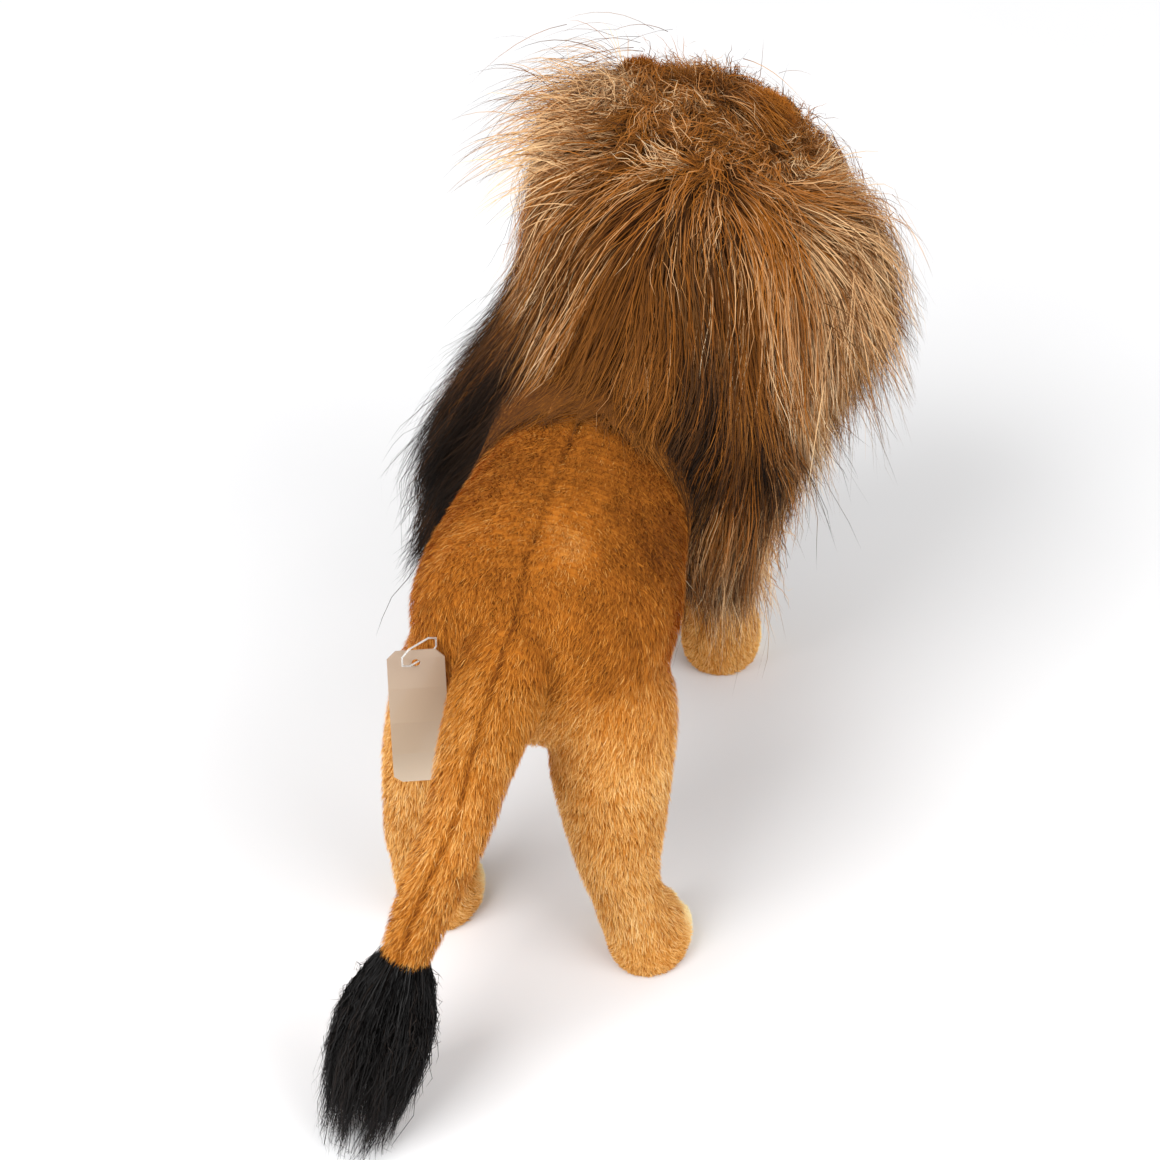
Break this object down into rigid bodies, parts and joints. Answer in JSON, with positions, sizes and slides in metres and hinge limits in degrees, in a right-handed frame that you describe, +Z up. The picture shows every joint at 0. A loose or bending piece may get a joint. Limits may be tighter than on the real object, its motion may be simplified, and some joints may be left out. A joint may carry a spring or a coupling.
{
  "type": "plush lion",
  "caption": "Standing plush lion with turned head, full long-pile mane, tufted tail, flat paws and a bare swing tag at the rump.",
  "frame": {"origin": "centre of the overall box, at the floor under the paws", "axes": "+Z up, -Y the way the lion faces, +X towards the lion's left"},
  "size_m": [0.212, 0.4216, 0.313],
  "materials": {
    "eye_amber": "polished",
    "fibre_fill": "loose fibre",
    "loop_plastic": "moulded",
    "mane_dark": "long pile",
    "mane_tan": "long pile",
    "nose_brown": "moulded",
    "pile_cream": "short pile",
    "pile_gold": "short pile",
    "pile_leg": "short pile",
    "steel_wire": "drawn wire",
    "tag_card": "satin coated card",
    "tuft_black": "long pile",
    "washer_plastic": "moulded"
  },
  "bodies": {
    "torso": {"hip_wire": "steel_wire", "mane_bib": "mane_dark", "mane_shoulder_left": "mane_dark", "mane_shoulder_right": "mane_dark", "neck_skin": "pile_gold", "neck_stuffing": "fibre_fill", "shoulder_wire": "steel_wire", "spine_wire": "steel_wire", "tag_loop": "loop_plastic", "torso_skin_belly": "pile_leg", "torso_skin_left": "pile_gold", "torso_skin_right": "pile_gold", "torso_stuffing": "fibre_fill"},
    "head": {"ear_left": "pile_gold", "ear_right": "pile_gold", "eye_left": "eye_amber", "eye_left_washer": "washer_plastic", "eye_right": "eye_amber", "eye_right_washer": "washer_plastic", "head_skin": "pile_gold", "head_stuffing": "fibre_fill", "head_wire": "steel_wire", "mane_cheek_left": "mane_tan", "mane_cheek_right": "mane_tan", "mane_crown": "mane_tan", "muzzle_skin": "pile_cream", "nose": "nose_brown"},
    "leg_hind_left": {"leg_hind_left_skin": "pile_leg", "leg_hind_left_sole": "pile_cream", "leg_hind_left_stuffing": "fibre_fill", "leg_hind_left_wire": "steel_wire"},
    "leg_hind_right": {"leg_hind_right_skin": "pile_leg", "leg_hind_right_sole": "pile_cream", "leg_hind_right_stuffing": "fibre_fill", "leg_hind_right_wire": "steel_wire"},
    "leg_front_left": {"leg_front_left_skin": "pile_leg", "leg_front_left_sole": "pile_cream", "leg_front_left_stuffing": "fibre_fill", "leg_front_left_wire": "steel_wire"},
    "leg_front_right": {"leg_front_right_skin": "pile_leg", "leg_front_right_sole": "pile_cream", "leg_front_right_stuffing": "fibre_fill", "leg_front_right_wire": "steel_wire"},
    "tail_upper": {"tail_upper_skin": "pile_gold", "tail_upper_stuffing": "fibre_fill", "tail_upper_wire": "steel_wire"},
    "tail_lower": {"tail_lower_skin": "pile_gold", "tail_lower_stuffing": "fibre_fill", "tail_lower_wire": "steel_wire", "tail_tuft": "tuft_black"},
    "tag": {"tag_card": "tag_card"}
  },
  "joints": [
    {"name": "hip_left", "type": "hinge", "parent": "torso", "child": "leg_hind_left", "pos_m": [0.04022, 0.07667, 0.148], "axis": [1, 0, 0], "range_deg": [-8, 8]},
    {"name": "hip_right", "type": "hinge", "parent": "torso", "child": "leg_hind_right", "pos_m": [-0.01978, 0.07667, 0.148], "axis": [1, 0, 0], "range_deg": [-8, 8]},
    {"name": "shoulder_left", "type": "hinge", "parent": "torso", "child": "leg_front_left", "pos_m": [0.04322, -0.10583, 0.15], "axis": [1, 0, 0], "range_deg": [-8, 8]},
    {"name": "shoulder_right", "type": "hinge", "parent": "torso", "child": "leg_front_right", "pos_m": [-0.02278, -0.10583, 0.15], "axis": [1, 0, 0], "range_deg": [-8, 8]},
    {"name": "head_turn", "type": "hinge", "parent": "torso", "child": "head", "pos_m": [-0.00378, -0.12133, 0.232], "axis": [0, 0, 1], "range_deg": [-20, 30]},
    {"name": "tail_swing", "type": "hinge", "parent": "torso", "child": "tail_upper", "pos_m": [0.01322, 0.10467, 0.18], "axis": [0, 0, 1], "range_deg": [-12, 12]},
    {"name": "tail_bend", "type": "hinge", "parent": "tail_upper", "child": "tail_lower", "pos_m": [0.02522, 0.15067, 0.125], "axis": [1, 0, 0], "range_deg": [-10, 20]},
    {"name": "tag_hang", "type": "hinge", "parent": "torso", "child": "tag", "pos_m": [0.04944, 0.11302, 0.17324], "axis": [0.9511, 0.309, 0], "range_deg": [-3, 12]}
  ]
}
